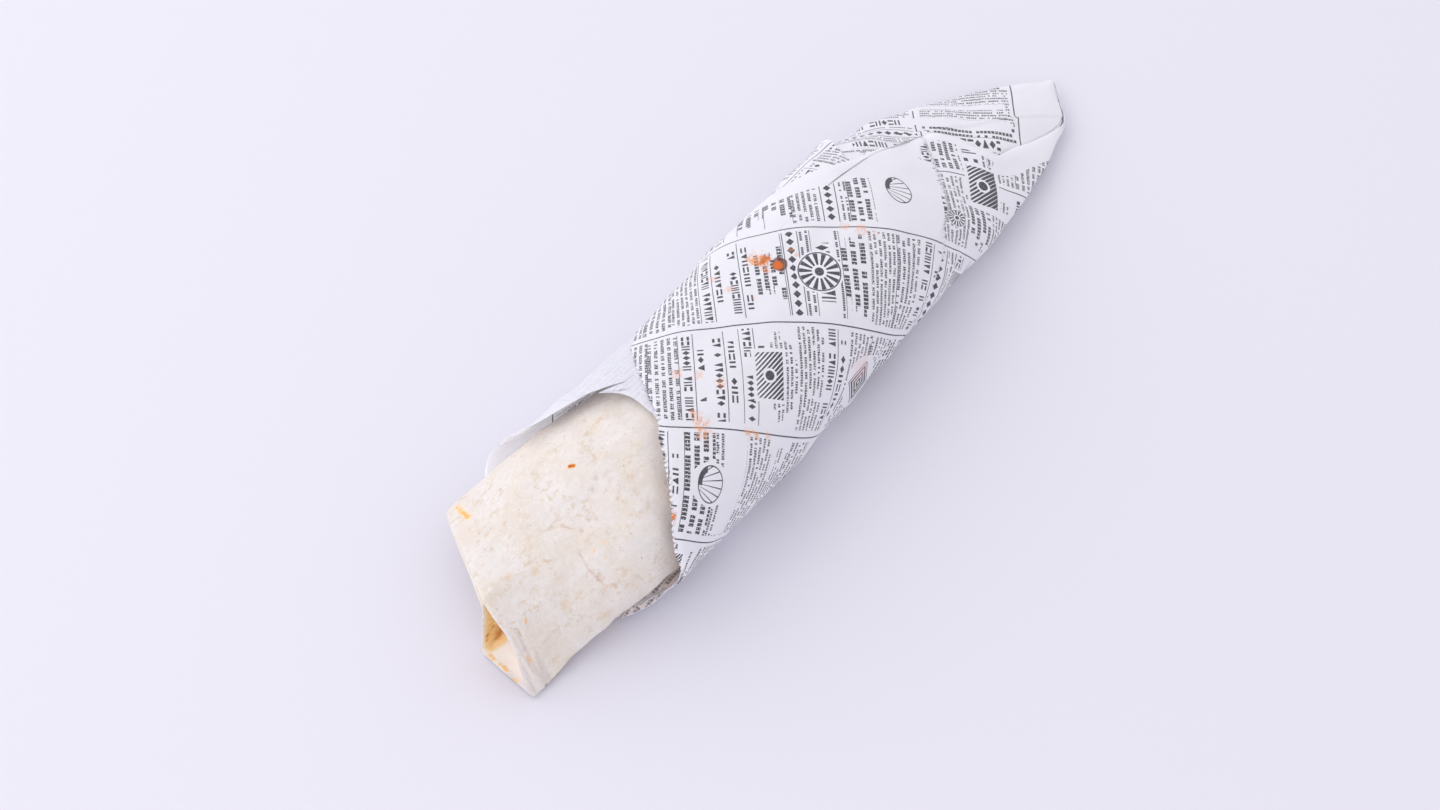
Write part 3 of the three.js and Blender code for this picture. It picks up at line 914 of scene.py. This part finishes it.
def tortilla_finish():
    """Flour tortilla: pinkish white dough, mottled tan and white, with fine flour fibres, a few
    freckles, toasted and sauce-stained marks, painted shade along its creases, in the hood's pleats
    and fold and beside the paper's front, and painted light in the pocket: nearly white inside, with
    a yellow-tan glow on its wall for light shining through the dough."""
    finish = Finish("flour_tortilla_skin", IOR=1.4, Specular_IOR_Level=0.3, Subsurface_Weight=0.35)
    finish.shader.inputs["Subsurface Radius"].default_value = (0.9, 0.74, 0.6)
    finish.shader.inputs["Subsurface Scale"].default_value = 3.2 * MM
    between = finish.between
    place = finish.object_mm()
    x, y, height = finish.parts(place)
    plan = finish.joined(x, y)

    def away_from(path, where=place):
        return finish.from_line(where, [in_frame(*point) for point in path])

    # the dough
    clouds = finish.noise(place, 13.0, 3.0, 0.55)
    drifts = finish.noise(place, 8.0, 2.0, 0.5)
    patches = finish.noise(place, 2.0, 4.0, 0.62, stretch=(0.8, 1.0, 1.0))
    grain = finish.noise(place, 1.2, 3.0, 0.62)
    fibres = finish.noise(place, 0.5, 3.0, 0.62)
    freckles = finish.noise(place, 1.0, 1.0)
    amount = 0.25 + between(drifts, 0.4, 0.62) * 0.75
    base = finish.layered(
        finish.blend(between(clouds, 0.38, 0.66), shown(229, 224, 219), shown(226, 217, 206)),
        (between(patches, 0.5, 0.66) * amount * 0.6, shown(211, 190, 163)),
        (between(grain, 0.52, 0.7) * 0.5, shown(238, 233, 229)),
        (between(grain, 0.46, 0.3) * amount * 0.4, shown(212, 190, 170)),
        (between(fibres, 0.5, 0.72) * 0.25, shown(206, 186, 172)),
        (between(freckles, 0.75, 0.79) * 0.45, shown(166, 124, 90)),
    )

    # toasted, grey and stained marks, and brown lines of painted shade along the creases
    ragged = (finish.noise(place, 1.3, 3.0, 0.65) - 0.5) * 1.7
    frayed = (finish.noise(place, 0.7, 3.0, 0.65) - 0.5) * 1.8
    for marks, colour, strength, soft in (
        (TOAST_MARKS, shown(214, 184, 138), 0.4, 0.9),
        (GREY_MARKS, shown(176, 162, 146), 0.35, 0.9),
        (BLISTER_SPOTS, shown(240, 196, 142), 0.55, 0.9),
        (ORANGE_SPOTS, shown(236, 186, 128), 0.75, 0.8),
    ):
        base = with_marks(finish, base, place, marks, colour, strength, ragged, soft)
    top = between(height, 10.0, 14.0)
    # painted shade along the blister's crease
    crease = between(away_from(BLISTER_EDGE, plan) + frayed * 0.9, 0.45, 0.05) * top
    base = finish.blend(crease * between(drifts, 0.36, 0.56) * 0.5, base, shown(206, 166, 138))
    # painted shade along the other creases
    for path in CREASE_SHADE_LINES:
        crease = between(away_from(path, plan) + frayed * 1.3, 0.75, 0.05) * top
        base = finish.blend(crease * 0.22, base, shown(198, 166, 120))

    # a smear, a fleck and a dot of sauce, painted shade in the hood's pleats, along its fold and beside the
    # paper's front, and painted light on the pocket's inside
    smear = away_from(YELLOW_SMEAR) + ragged * 0.8 + frayed * 0.8
    fleck = away_from(ORANGE_FLECK)
    dot = spot(finish, place, in_frame(*RED_DOT), 0.42, ragged * 0.3, 0.4)
    hood = between(x, 9.0 - ORIGIN[0], 5.0 - ORIGIN[0])
    hood = hood * between(y, -6.5 - ORIGIN[1], -9.5 - ORIGIN[1])
    # painted shade: grey streaks in the hood's fine pleats
    hood_pleat_shade = finish.noise(place, 1.1, 2.0, 0.5, stretch=(1.0, 0.14, 0.1))
    inside, shaded, _ = finish.parts(finish.attribute("place"))
    base = finish.layered(
        base,
        (between(smear, 1.6, 0.6) * 0.6, shown(250, 214, 160)),
        (between(smear, 0.9, 0.0) * 0.9, shown(250, 178, 84)),
        (between(fleck + ragged * 0.15, 0.7, 0.45), shown(228, 144, 58)),
        (between(fleck + frayed * 0.5, 0.34, 0.1) * 0.8, shown(160, 80, 26)),
        (dot * 0.9, shown(196, 116, 66)),
        (between(hood_pleat_shade, 0.46, 0.62) * hood * 0.5, shown(198, 188, 190)),
        # painted shade along the hood's fold
        (between(away_from(HOOD_FOLD_SHADE) + frayed * 0.5, 0.4, 0.1) * 0.6, shown(206, 180, 152)),
        (shaded * 0.14, shown(196, 172, 154)),
        # painted light: the pocket's inside is made nearly white so that it shows bright under the hood
        (inside, shown(250, 238, 227)),
    )

    # the pocket
    base = with_marks(finish, base, place, LIP_MARKS, shown(244, 188, 112), 0.85, ragged, 0.6)
    # painted light: the pocket's wall is painted yellow-tan, a glow for light shining through the dough
    # from behind
    wall_line = y + ORIGIN[1] + WALL_FOOT + (x + ORIGIN[0]) * WALL_LEAN
    backlit_glow = inside * between(wall_line + frayed * 0.5, -1.0, 0.6)
    backlit_glow_colour = finish.blend(between(patches, 0.4, 0.62), shown(253, 216, 156), shown(248, 198, 122))
    base = finish.blend(backlit_glow * 0.92, base, backlit_glow_colour)
    base = with_marks(finish, base, place, BURNT_MARKS, shown(196, 124, 34), 0.75, ragged * 0.8, 0.7)

    relief = grain * 0.5 + fibres * 0.3 + patches * 0.4
    finish.feed(Base_Color=base, Roughness=0.66 - 0.1 * grain, Normal=finish.bump(relief, 0.3, 0.55))
    return finish.material


# The print. Its columns lie between thin rules, and are cut into bands. All in mm.
COLUMN = 32.0
COLUMN_START = -13.0  # where one of the rules lies across the sheet
COLUMN_SIDE = 1.7  # blank beside a rule
BAND = 9.0
SMALL_PITCH = 1.6  # from row to row of the small print
ROW_TOP = 0.22  # blank above a row
GAPS = 0.18  # the chance that a letter is blank
INDENT = 3.0  # of a headline and of short rows, at least
LOZENGE_PITCH = 3.0
HATCHED = {"drum": 0.55, "block": 0.72}  # the share of ink in a hatched panel


def ornament(finish, x, y, shape):
    """The clearing and the drawing of an ornament, at x and y from its middle in its own size."""
    math = finish.math
    wide, tall = abs(x), abs(y)
    radius = math("SQRT", x * x + y * y)
    clearing = radius < 1.12
    if shape == "burst":
        rays = math("SINE", math("ARCTAN2", y, x) * 14.0) > -0.1
        drawn = rays * (radius > 0.36) * (radius < 0.96) + (radius < 0.22)
        drawn = drawn + math("COMPARE", radius, 1.0, 0.03)
    elif shape in HATCHED:
        hatch = math("FRACT", (x + y) * 5.0) < HATCHED[shape] + y * 0.3
        clearing = (wide < 1.1) * (tall < 0.75)
        drawn = (wide < 0.95) * (tall < 0.6) * hatch
        drawn = drawn * (radius > 0.3) + (radius < 0.2)
    elif shape == "lozenge":
        reach = wide + tall
        drawn = (reach < 0.92) * (math("FRACT", reach * 4.0) > 0.38)
    elif shape == "shell":
        shell = x * x / 0.9 + y * y / 0.5
        ribs = math("FRACT", math("ARCTAN2", y + 1.1, x) * 4.0) > 0.84
        drawn = (shell < 0.9) * ribs + math("COMPARE", shell, 0.95, 0.07)
        drawn = drawn + (shell < 0.9) * (shell > 0.45) * (y < -0.2) * (x < 0.1)
    return clearing, math("MINIMUM", drawn, 1.0)


def greeked_print(finish, down, across, ornaments=(), blanks=()):
    """Print without letters, as a mask of ink. Each band of a column has its own chance: rows of
    small or larger blocks, a headline of slit blocks, wedges and lozenges in one of two sizes, a
    string of lozenges, or short rows. Ornaments are set at (down, across, size, shape), and blanks
    are rectangles without ink, as (least down, most down, least across, most across)."""
    math = finish.math
    shifted = (across - COLUMN_START) / COLUMN
    column = math("FLOOR", shifted)
    inset = (shifted - column) * COLUMN
    drop = (down + finish.chance(column, 3.7) * 40.0) / BAND
    band = math("FLOOR", drop)
    depth = (drop - band) * BAND
    luck = finish.chance(column + 0.5, band)
    second = finish.chance(column + 0.25, band + 0.5)
    worn = finish.noise(finish.joined(down, across), 0.42, 1.0)
    body = (inset > COLUMN_SIDE) * (inset < COLUMN - COLUMN_SIDE)
    scale = 0.86 + 0.36 * second

    def indented(room):
        return (inset > INDENT + room) * (inset < COLUMN - INDENT - room)

    def line_at(place, half):
        return math("COMPARE", depth, place, half)

    def rows(pitch, height, letter, gaps=GAPS, start=0.0):
        line = math("FLOOR", (depth - start) / (pitch * scale))
        within = (depth - start) - line * (pitch * scale)
        slid = across / letter + finish.chance(line + 0.4, band + column * 3.0) * 7.0
        cell = math("FLOOR", slid)
        filled = finish.chance(cell + 0.31, line + band * 11.0 + column) > gaps
        edge = slid - cell
        across_row = (edge > 0.12) * (edge < 0.92)
        return across_row * (within > ROW_TOP) * (within < ROW_TOP + height * scale) * filled

    def headline(top, height, letter):
        slid = across / letter + second * 5.0
        cell = math("FLOOR", slid)
        rise = (depth - top) / height - 0.5
        wide, tall = abs(slid - cell - 0.5), abs(rise)
        which = finish.chance(cell + 0.2, band + column * 7.0)
        box = (wide < 0.41) * (tall < 0.5)
        stems = box * (wide > 0.15) * (which < 0.26)
        slabs = box * (tall > 0.2) * (which > 0.26) * (which < 0.46)
        slope = wide < 0.06 + (rise + 0.5) * 0.34
        wedge = (tall < 0.5) * slope * (which > 0.46) * (which < 0.62)
        lozenge = (wide * 1.1 + tall < 0.48) * (which > 0.62) * (which < 0.78)
        return stems + slabs + wedge + lozenge

    small = rows(SMALL_PITCH, height=0.84, letter=0.68) * (worn > 0.42)
    medium = rows(2.4, height=1.4, letter=1.15) * (worn > 0.36)
    centred = indented(second * 6.0)
    tall = headline(top=1.3, height=4.4, letter=2.2) * centred
    tall = tall + rows(SMALL_PITCH, height=0.7, letter=0.68, gaps=0.2, start=0.9) * (depth > 6.9)
    bold = headline(top=1.2, height=2.4, letter=1.7)
    bold = bold + headline(top=5.6, height=1.8, letter=2.6) * centred + line_at(4.5, 0.12)
    from_middle = abs(math("FRACT", across / LOZENGE_PITCH) - 0.5) * LOZENGE_PITCH
    lozenge = from_middle + abs(depth - 3.0)
    string = (lozenge < 1.25) + line_at(5.4, 0.14) + line_at(0.7, 0.14)
    string = string + rows(SMALL_PITCH, height=0.7, letter=0.68, gaps=0.2, start=0.6) * (depth > 6.0)
    short = indented(finish.chance(math("FLOOR", depth / 1.8) + 0.7, band + column * 5.0) * 9.0)

    ink, low = None, -1.0
    for drawn, high in (
        (small, 0.32),
        (medium, 0.46),
        (tall, 0.6),
        (bold, 0.78),
        (string, 0.82),
        (medium * short, 0.92),
        (small * short, 2.0),
    ):
        chosen = drawn * ((luck > low) * (luck < high))
        ink = chosen if ink is None else ink + chosen
        low = high
    parting = line_at(0.06, 0.13) * (second > 0.45)
    rule = abs(inset - 0.35) < 0.2
    ink = math("MINIMUM", ink + parting, 1.0) * body + rule
    for least_down, most_down, least_across, most_across in blanks:
        inside = (down > least_down) * (down < most_down) * (across > least_across)
        ink = ink * (1 - inside * (across < most_across))
    for at_down, at_across, size, shape in ornaments:
        x = (across - at_across) / size
        y = (down - at_down) / size
        clearing, drawn = ornament(finish, x, y, shape)
        ink = ink * (1 - clearing) + drawn
    return math("MINIMUM", ink, 1.0) * (0.86 + 0.14 * (worn > 0.4))


OUTER_ORNAMENTS = [
    (84.0, -61.0, 7.0, "drum"), (103.0, -93.0, 6.5, "burst"), (66.0, -29.0, 5.5, "shell"),
    (121.0, -61.0, 7.5, "lozenge"), (132.0, -125.0, 6.0, "shell"), (160.0, -95.0, 7.0, "drum"),
    (58.0, -3.0, 6.0, "drum"), (104.0, -29.0, 6.0, "burst"), (150.0, -61.0, 6.5, "burst"),
    (167.0, -138.5, 8.0, "block"), (155.0, -120.0, 2.8, "burst"),
]

# Those with a down below zero lie on the tail sheet.
OUTER_BLANKS = [
    (123.0, 146.5, -144.0, -110.0), (70.0, 77.0, -44.0, -15.0), (-172.0, -167.5, -170.0, -140.0),
    (-180.5, -177.5, -170.0, -140.0), (160.0, 181.0, -131.0, -128.0),
]

# Sauce on the outer sheet, as (down, across, size, strength), from a drop to faint smears.
SAUCE = [
    (86.2, -97.6, 3.2, 0.95), (84.0, -99.4, 3.2, 0.8), (87.0, -94.4, 1.6, 0.6), (95.4, -101.0, 1.2, 0.6),
    (82.6, -97.6, 1.6, 0.4), (96.8, -99.1, 1.0, 0.5), (82.0, -84.9, 0.7, 0.8), (113.0, -109.0, 2.0, 0.5),
    (117.5, -107.8, 2.4, 0.55), (121.8, -107.0, 1.3, 0.4), (62.4, -46.5, 3.2, 0.7), (64.0, -43.0, 3.0, 0.6),
    (61.0, -49.2, 1.3, 0.5), (77.0, -44.6, 1.7, 0.8), (80.0, -44.0, 1.5, 0.8), (83.6, -44.0, 1.5, 0.5),
    (70.1, -94.6, 1.9, 0.45), (57.0, -62.0, 2.2, 0.5), (63.1, -61.0, 2.2, 0.45), (69.4, -58.0, 2.0, 0.5),
    (75.0, -89.0, 1.8, 0.5), (54.6, -18.4, 2.4, 1.0),
]


def paper_finish(name, **fixed):
    """Half of the light goes into the sheet, a millimetre deep, and some comes out behind it."""
    finish = Finish(name, Subsurface_Weight=0.5, Specular_IOR_Level=0.35, **fixed)
    finish.shader.inputs["Subsurface Radius"].default_value = (1.0, 1.0, 1.0)
    finish.shader.inputs["Subsurface Scale"].default_value = 1.0 * MM
    return finish


def paper_base(finish, flat):
    """The bare sheet: cool white with the faintest clouds."""
    cloud = finish.noise(flat, 9.0, 2.0)
    return finish.blend(cloud, shown(246, 245, 251), shown(239, 238, 247))


def paper_bump(finish, flat):
    fine = finish.noise(flat, 2.6, 3.0, 0.55)
    return finish.bump(fine, 0.16, 0.5)


INK = shown(38, 34, 44)
# The one thick drop of sauce, its orange core and the brown smear beside it, and a pink blush. The drop's
# dark rim is partly the sauce's own edge and partly painted shade on one side of the thick drop.
DROP = (91.2, -95.9, 0.0)
DROP_CORE = (90.6, -95.5, 0.0)
DROP_SMEAR = (87.2, -98.0, 0.0)
BLUSH = (119.0, -65.5, 0.0)


def printed_paper():
    """Greaseproof paper with dark grey print, a blank margin and sauce stains, and painted shade on one
    side of the thick drop of sauce.
    """
    finish = paper_finish("printed_paper")
    flat = finish.attribute("place")
    down, across, margin = finish.parts(flat)
    ink = greeked_print(finish, down, across, OUTER_ORNAMENTS, OUTER_BLANKS) * (margin > MARGIN)
    colour = finish.blend(ink * 0.94, paper_base(finish, flat), INK)
    plane = finish.joined(down, across)
    ragged = (finish.noise(plane, 1.5, 4.0, 0.7, stretch=(1.0, 0.6, 1.0)) - 0.5) * 3.0
    fine = finish.between(finish.noise(plane, 0.7, 3.0, 0.6, stretch=(1.0, 0.5, 1.0)), 0.4, 0.58)
    for at_down, at_across, size, strength in SAUCE:
        mark = spot(finish, plane, (at_down, at_across, 0.0), size, ragged, 0.7)
        if strength > 0.85:
            colour = finish.blend(mark * strength, colour, shown(232, 128, 50))
        else:
            colour = finish.blend(mark * (0.3 + 0.7 * fine) * strength, colour, shown(243, 160, 100))
    smear = spot(finish, plane, DROP_SMEAR, 3.2, ragged * 0.8, 0.8) * fine
    # the dark rim is partly the sauce's own edge and partly painted shade: set off-centre from the core, it
    # darkens one side of the drop
    rim = spot(finish, plane, DROP, 2.7, ragged * 0.14, 0.2)
    core = spot(finish, plane, DROP_CORE, 2.1, ragged * 0.22, 0.6)
    blush = spot(finish, plane, BLUSH, 6.5, ragged * 0.6, 0.9)
    colour = finish.layered(
        colour,
        (smear * 0.6, shown(160, 84, 40)),
        (rim * 0.85, shown(104, 56, 36)),
        (core, shown(222, 112, 38)),
        (blush * 0.35, shown(244, 190, 186)),
    )
    rough = 0.55 - rim * 0.35  # the drop is wet
    finish.feed(Base_Color=colour, Roughness=rough, Normal=paper_bump(finish, flat))
    return finish.material


def lining_printed(finish, across, column):
    """Where the lining is printed: behind its first rule, and on all of its lower right."""
    return finish.math("MAXIMUM", across > COLUMN_START, (column > 90.0) * (column < 285.0))


def plain_paper(name, ghost, shade=0.0):
    """The unprinted face: the print on the other face shows through it, faint. The shade is painted
    shade: how much darker the face is made than the printed sheet."""
    finish = paper_finish(name, Roughness=0.55)
    flat = finish.attribute("place")
    down, across, column = finish.parts(flat)
    ink = greeked_print(finish, down, across) * lining_printed(finish, across, column)
    cloud = finish.noise(flat, 6.0, 2.0)
    share = ink * ghost * (0.45 + 0.55 * finish.between(cloud, 0.38, 0.6))
    # painted shade: the base is darkened by the shade share
    base = finish.blend(shade, paper_base(finish, flat), shown(196, 196, 208))
    colour = finish.blend(share, base, shown(150, 158, 190))
    finish.feed(Base_Color=colour, Normal=paper_bump(finish, flat))
    return finish.material


def lining_print():
    """The printed face of the lining, which shows inside the mouth. On the left of the top it is
    blank in front of its first column rule; on the lower right its base is painted darker and
    browner and its ink fainter, as painted shade. The face glows a little: painted light for the
    light that comes through the thin sheet."""
    # the emission is painted light: the face glows a little, for light coming through the thin sheet
    finish = paper_finish("lining_print", Roughness=0.6, Emission_Strength=0.14)
    flat = finish.attribute("place")
    down, across, column = finish.parts(flat)
    ink = greeked_print(finish, down, across) * lining_printed(finish, across, column)
    # painted shade: on the lip the base is darker and browner, and the ink fainter
    painted_lip_shade = (column > 180.0) * (column < 285.0)
    base = finish.blend(painted_lip_shade * 0.8, paper_base(finish, flat), shown(222, 208, 202))
    colour = finish.blend(ink * (0.9 - 0.25 * painted_lip_shade), base, INK)
    finish.feed(Base_Color=colour, Emission_Color=colour, Normal=paper_bump(finish, flat))
    return finish.material


# Setting out -------------------------------------------------------------------------------


def dress(piece, node, slot_name, *finishes):
    for finish in finishes:
        piece.data.materials.append(finish)
    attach(piece, "root")
    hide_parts(node)


def set_out_burrito():
    dress(tortilla_piece(), "tortilla", "flour_tortilla", tortilla_finish())
    printed = printed_paper()
    inside_out = plain_paper("paper_back", 0.3)
    shadowed = plain_paper("lining_back", 0.32, 0.45)
    lining = lining_print()
    for piece, outside, inside in (
        (outer_sheet(), printed, inside_out),
        (lining_sheet(), shadowed, lining),
        (tail_sheet(), printed, inside_out),
        (tail_corner(), printed, inside_out),
    ):
        dress(piece, "paper", "greaseproof_paper", outside, inside)
        wall(piece)


def floor_finish():
    finish = Finish("studio_floor", Roughness=0.7)
    finish.feed(Base_Color=shown(226, 224, 232))
    return finish.material


def set_out_floor():
    size = 3.0
    mesh = bpy.data.meshes.new("studio_floor")
    corners = [(-size, -size, 0), (size, -size, 0), (size, size, 0), (-size, size, 0)]
    mesh.from_pydata(corners, [], [(0, 1, 2, 3)])
    floor = bpy.data.objects.new("studio_floor", mesh)
    bpy.context.collection.objects.link(floor)
    mesh.materials.append(floor_finish())


def stand_at(thing, place, right, upright, back):
    """Puts a lamp or a camera in its place, in metres, with these three as its own axes."""
    bpy.context.collection.objects.link(thing)
    turned = np.eye(4)
    turned[:3, :3] = np.stack([right, upright, back], 1)
    turned[:3, 3] = place
    thing.matrix_world = Matrix(turned.tolist())


def set_out_light():
    world = bpy.data.worlds.new("studio")
    world.use_nodes = True
    background = world.node_tree.nodes["Background"]
    background.inputs["Color"].default_value = (0.95, 0.94, 1.0, 1.0)
    background.inputs["Strength"].default_value = 0.95
    bpy.context.scene.world = world
    for name, power, size, place in (
        ("key_light", 7.0, 1.8, (-0.1, 1.1, 0.85)),
        ("fill_light", 3.0, 1.2, (-1.25, 0.05, 0.6)),
    ):
        light = bpy.data.lights.new(name, "AREA")
        light.energy = power
        light.size = size
        light.color = (1.0, 0.99, 1.0)
        back = np.array(place) / np.linalg.norm(place)
        right = np.cross([0, 0, 1], back)
        right /= np.linalg.norm(right)
        stand_at(bpy.data.objects.new(name, light), place, right, np.cross(back, right), back)


VIEW_TURN = np.radians(47.2)  # of the camera round the object, from straight across the roll
VIEW_HEIGHT = np.radians(55.0)  # above the floor
VIEW_DISTANCE = 700.0
VIEW_AIM = np.array([110.4, 0.0, 18.0])
AIM_OFFSET = (25.0, -30.0)  # it shows 25 pixels right of the picture's middle, and 30 above it
LENS = 60.0
FILM = 36.0
PICTURE_WIDTH = 1440


def set_out_camera():
    level = np.cos(VIEW_HEIGHT)
    back = np.array([-np.sin(VIEW_TURN) * level, -np.cos(VIEW_TURN) * level, np.sin(VIEW_HEIGHT)])
    right = np.array([np.cos(VIEW_TURN), -np.sin(VIEW_TURN), 0.0])
    upright = np.cross(back, right)
    pixel = VIEW_DISTANCE / (LENS / FILM * PICTURE_WIDTH)
    place = VIEW_AIM + back * VIEW_DISTANCE
    place = place - right * AIM_OFFSET[0] * pixel + upright * AIM_OFFSET[1] * pixel
    lens = bpy.data.cameras.new("camera")
    lens.lens = LENS
    lens.sensor_width = FILM
    lens.clip_start = 0.01
    camera = bpy.data.objects.new("camera", lens)
    stand_at(camera, (place - ORIGIN) * MM, right, upright, back)
    bpy.context.scene.camera = camera


set_out_camera()
set_out_burrito()
set_out_floor()
set_out_light()
bpy.context.scene.view_settings.view_transform = "Standard"

bpy.context.view_layer.update()
